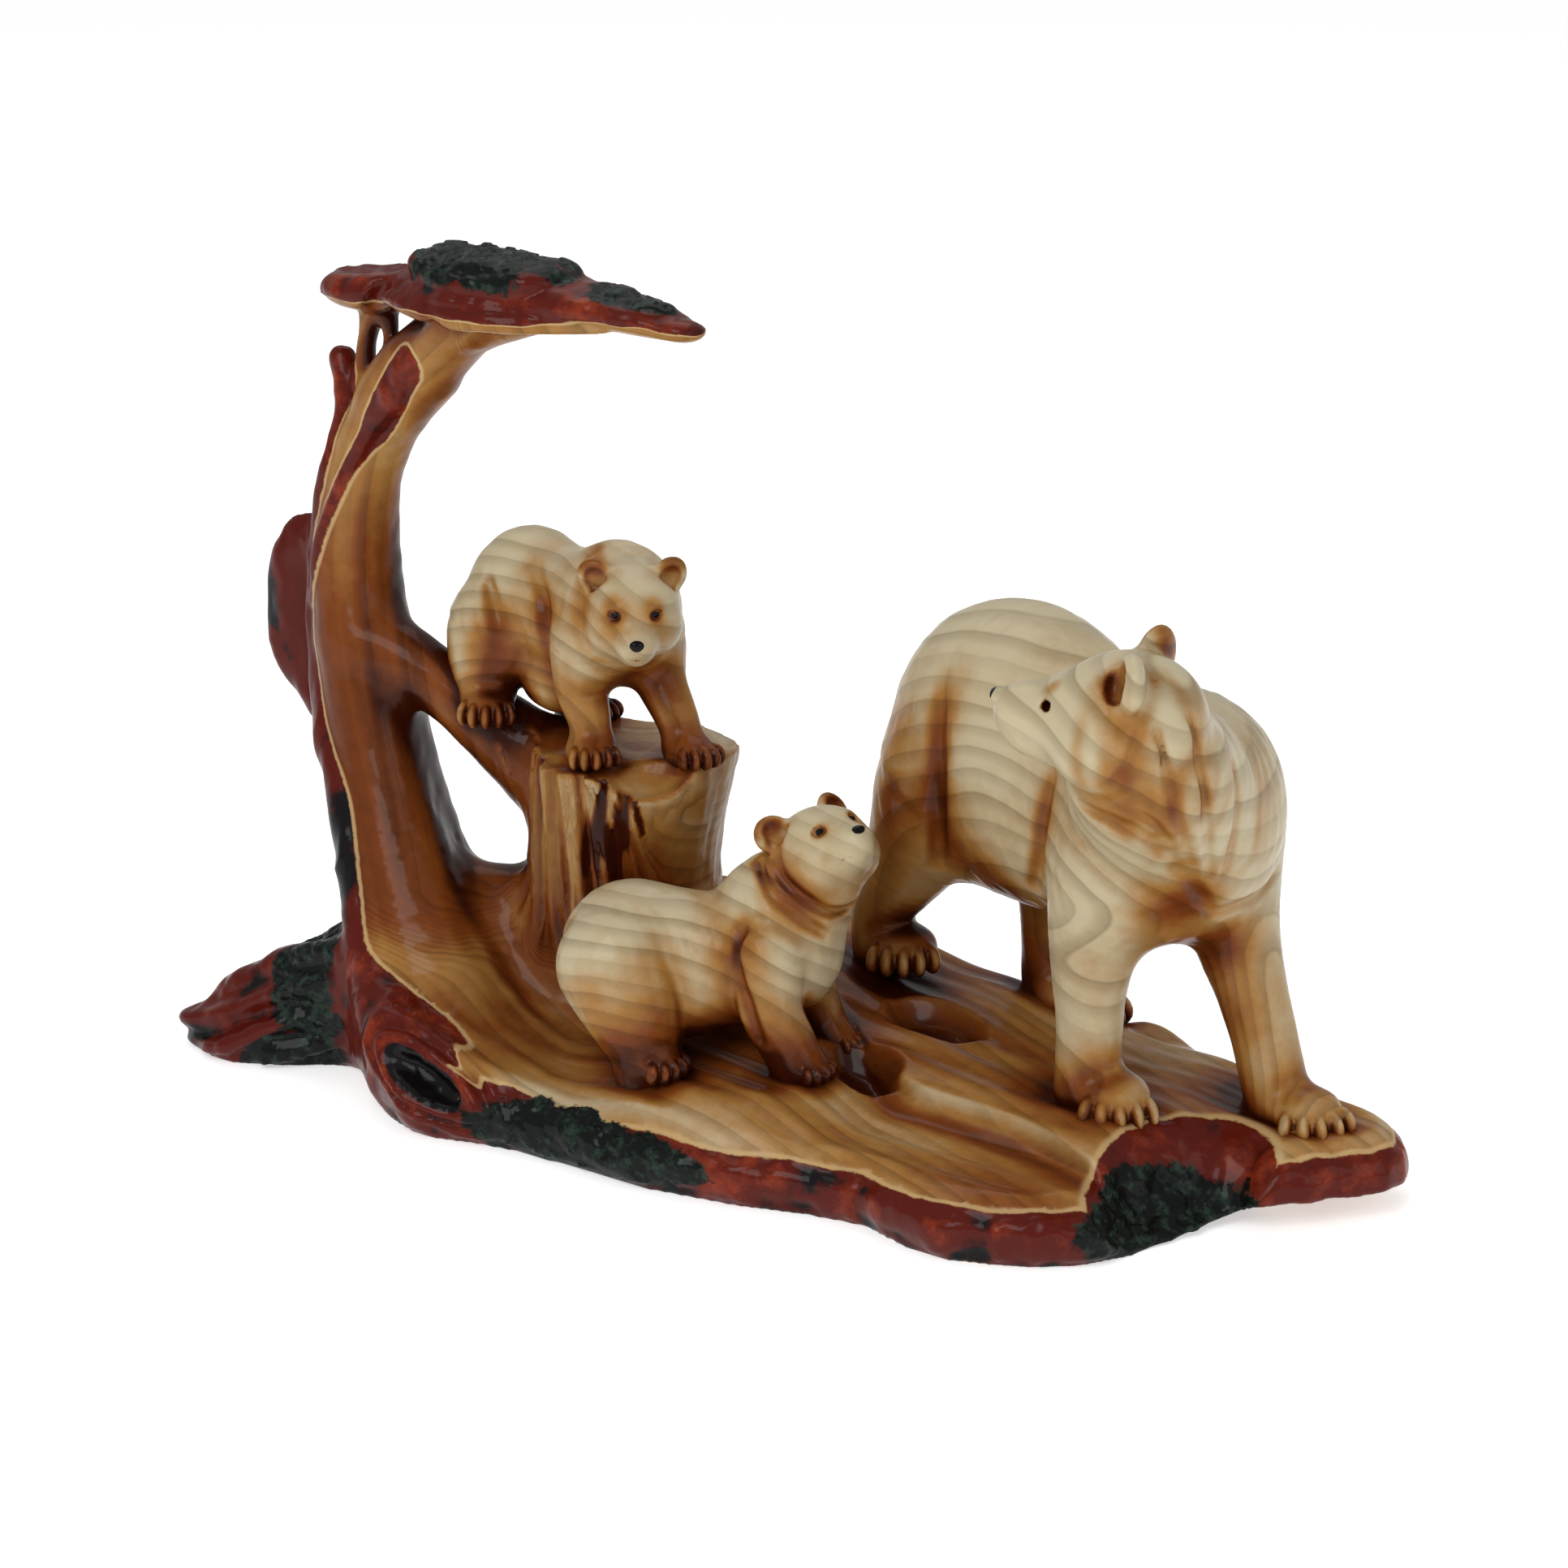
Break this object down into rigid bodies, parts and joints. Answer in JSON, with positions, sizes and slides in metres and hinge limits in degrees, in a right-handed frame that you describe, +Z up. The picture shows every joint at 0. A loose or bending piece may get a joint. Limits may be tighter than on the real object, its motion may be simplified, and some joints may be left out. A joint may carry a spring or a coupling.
{
  "type": "bear family statue",
  "caption": "Tabletop cast statue of a mother bear and her cubs on a base shaped like fallen timber, with a stump and a bent, crowned trunk.",
  "frame": {"origin": "on the table plane, under the middle of the part's overall box", "axes": "+X along the base from the root at the left to the mother bear's end, +Y to the back, +Z up; the side with the cub on the ground faces -Y"},
  "size_m": [0.2445, 0.1126, 0.1633],
  "materials": {
    "carved_wood_finish": "satin lacquer over a painted carved-wood look, with red-brown bark and dark green moss"
  },
  "bodies": {
    "root": {"bear_family_casting": "carved_wood_finish"}
  },
  "joints": []
}
